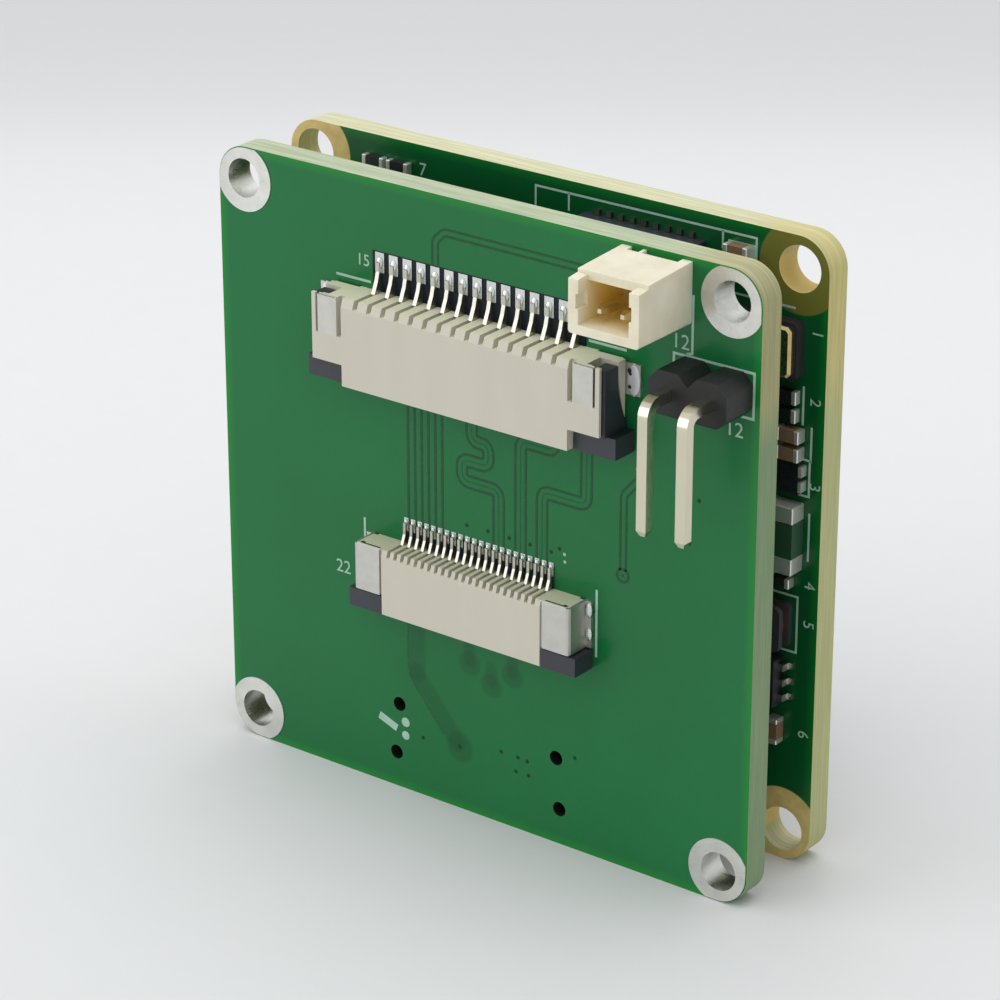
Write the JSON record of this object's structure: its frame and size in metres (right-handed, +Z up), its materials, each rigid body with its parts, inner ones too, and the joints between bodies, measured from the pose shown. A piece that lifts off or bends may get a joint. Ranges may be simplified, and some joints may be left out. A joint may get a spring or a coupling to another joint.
{
  "type": "board camera module",
  "caption": "Two stacked square circuit boards with slide-lock flat-cable sockets, a power socket and a bent-pin header in front, and a screw-in lens in its holder at the back.",
  "frame": {"origin": "centre of the whole module's box, at its bottom: level with the bottom edges that both boards stand on", "axes": "+X along the boards to the side of the power socket, +Y from the sockets' side through the boards to the lens, +Z up"},
  "size_m": [0.038, 0.0262, 0.038],
  "materials": {
    "board_laminate": "green solder mask over a pale laminate core",
    "tin_plating": "tinned copper",
    "ivory_nylon": "warm ivory moulding, faint grain",
    "cream_nylon": "cream-white moulding, slightly translucent",
    "black_slide_plastic": "dark grey-violet moulding",
    "tinned_contact": "tinned copper-alloy sheet",
    "hold_down_sheet": "dull tinned sheet",
    "gold_pin": "pale gold flash over copper alloy",
    "header_plastic": "dark grey moulding",
    "link_plastic": "grey-violet moulding",
    "package_epoxy": "black moulded epoxy",
    "sensor_ceramic": "dark fired ceramic",
    "silicon": "polished, faintly iridescent",
    "clear_glass": "polished",
    "coated_glass": "polished, cyan coating",
    "lens_black": "fine matt black",
    "screw_steel": "black-finished steel",
    "chip_ceramic": "fired, matt",
    "resistor_film": "dark glazed film on white ceramic",
    "crystal_ceramic": "dark fired ceramic",
    "crystal_metal": "gold-edged plated sheet",
    "fuse_laminate": "green laminate",
    "ferrite": "dull fired ferrite",
    "enamelled_copper": "orange enamelled wire"
  },
  "bodies": {
    "boards": {"interface_board": "board_laminate", "interface_board_plating": "tin_plating", "contact_pads": "tin_plating", "sensor_board": "board_laminate", "wide_socket_housing": "ivory_nylon", "wide_socket_contacts": "tinned_contact", "wide_socket_hold_downs": "hold_down_sheet", "narrow_socket_housing": "ivory_nylon", "narrow_socket_contacts": "tinned_contact", "narrow_socket_end_caps": "hold_down_sheet", "power_socket_housing": "cream_nylon", "power_socket_pins": "gold_pin", "pin_header_body": "header_plastic", "pin_header_pins": "gold_pin", "board_link_plug_housing": "link_plastic", "board_link_plug_contacts": "gold_pin", "board_link_receptacle_housing": "link_plastic", "board_link_receptacle_contacts": "gold_pin", "image_processor": "package_epoxy", "image_sensor_package": "sensor_ceramic", "image_sensor_die": "silicon", "image_sensor_cover_glass": "clear_glass", "infrared_filter": "coated_glass", "lens_holder": "lens_black", "lens_holder_screws": "screw_steel", "crystal_case": "crystal_ceramic", "crystal_lid": "crystal_metal", "chip_resistors": "resistor_film", "chip_capacitors": "chip_ceramic", "chip_end_caps": "tin_plating", "power_fuse_body": "fuse_laminate", "power_fuse_terminals": "tin_plating", "diode_body": "package_epoxy", "diode_terminals": "tin_plating", "resistor_array_body": "resistor_film", "resistor_array_terminals": "tin_plating", "power_inductor_core": "ferrite", "power_inductor_winding": "enamelled_copper", "voltage_regulator_body": "package_epoxy", "voltage_regulator_leads": "tinned_contact"},
    "wide_slide_lock": {"wide_socket_slide_lock": "black_slide_plastic"},
    "narrow_slide_lock": {"narrow_socket_slide_lock": "black_slide_plastic"},
    "lens": {"lens_barrel": "lens_black", "lens_front_element": "clear_glass", "lens_rear_element": "clear_glass", "lens_retaining_ring": "lens_black"}
  },
  "joints": [
    {"name": "wide_lock_slide", "type": "slide", "parent": "boards", "child": "wide_slide_lock", "axis": [0, 0, -1], "range_m": [0, 0.0012]},
    {"name": "narrow_lock_slide", "type": "slide", "parent": "boards", "child": "narrow_slide_lock", "axis": [0, 0, -1], "range_m": [0, 0.001]},
    {"name": "lens_focus_turn", "type": "hinge", "parent": "boards", "child": "lens", "pos_m": [0, 0.00607, 0.019], "axis": [0, 1, 0], "range_deg": [-180, 180]}
  ]
}
